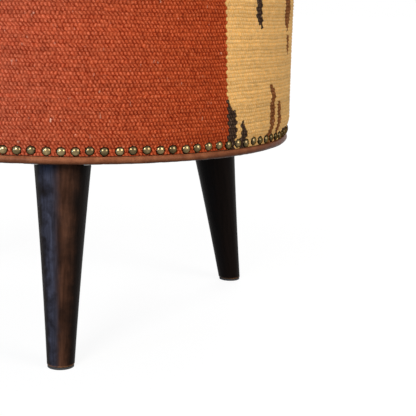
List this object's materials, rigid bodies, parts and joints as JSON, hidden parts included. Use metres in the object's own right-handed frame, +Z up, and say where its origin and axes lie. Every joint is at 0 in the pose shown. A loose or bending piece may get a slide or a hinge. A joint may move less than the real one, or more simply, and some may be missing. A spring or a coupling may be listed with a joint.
{
  "type": "footstool",
  "caption": "Round upholstered footstool: a kilim-covered drum with a crowned padded top, leather piping and a row of dome nails, on splayed tapered wooden legs.",
  "frame": {"origin": "on the floor, under the middle of the drum", "axes": "+Z up along the drum's axis; one leg points along -Y"},
  "size_m": [0.4817, 0.4818, 0.4039],
  "materials": {
    "kilim": "matte",
    "tan_leather": "satin",
    "antique_brass": "satin",
    "dark_wood": "satin",
    "black_rubber": "matte",
    "zinc_steel": "satin",
    "plywood": "matte",
    "pine": "matte",
    "dust_cloth": "matte",
    "foam": "matte",
    "wadding": "matte"
  },
  "bodies": {
    "root": {"side_cover": "kilim", "top_cover": "kilim", "lower_piping": "tan_leather", "seam_piping": "tan_leather", "cover_nails": "antique_brass", "leg_front": "dark_wood", "leg_right": "dark_wood", "leg_left": "dark_wood", "foot_glide_front": "black_rubber", "foot_glide_right": "black_rubber", "foot_glide_left": "black_rubber", "hanger_bolt_front": "zinc_steel", "hanger_bolt_right": "zinc_steel", "hanger_bolt_left": "zinc_steel", "leg_plate_front": "zinc_steel", "leg_plate_right": "zinc_steel", "leg_plate_left": "zinc_steel", "plate_screws": "zinc_steel", "base_screws": "zinc_steel", "deck_screws": "zinc_steel", "base_board": "plywood", "deck_board": "plywood", "side_wall": "plywood", "post_1": "pine", "post_2": "pine", "post_3": "pine", "post_4": "pine", "post_5": "pine", "post_6": "pine", "dust_cloth": "dust_cloth", "seat_foam": "foam", "seat_wadding": "wadding", "side_wadding": "wadding"}
  },
  "joints": []
}
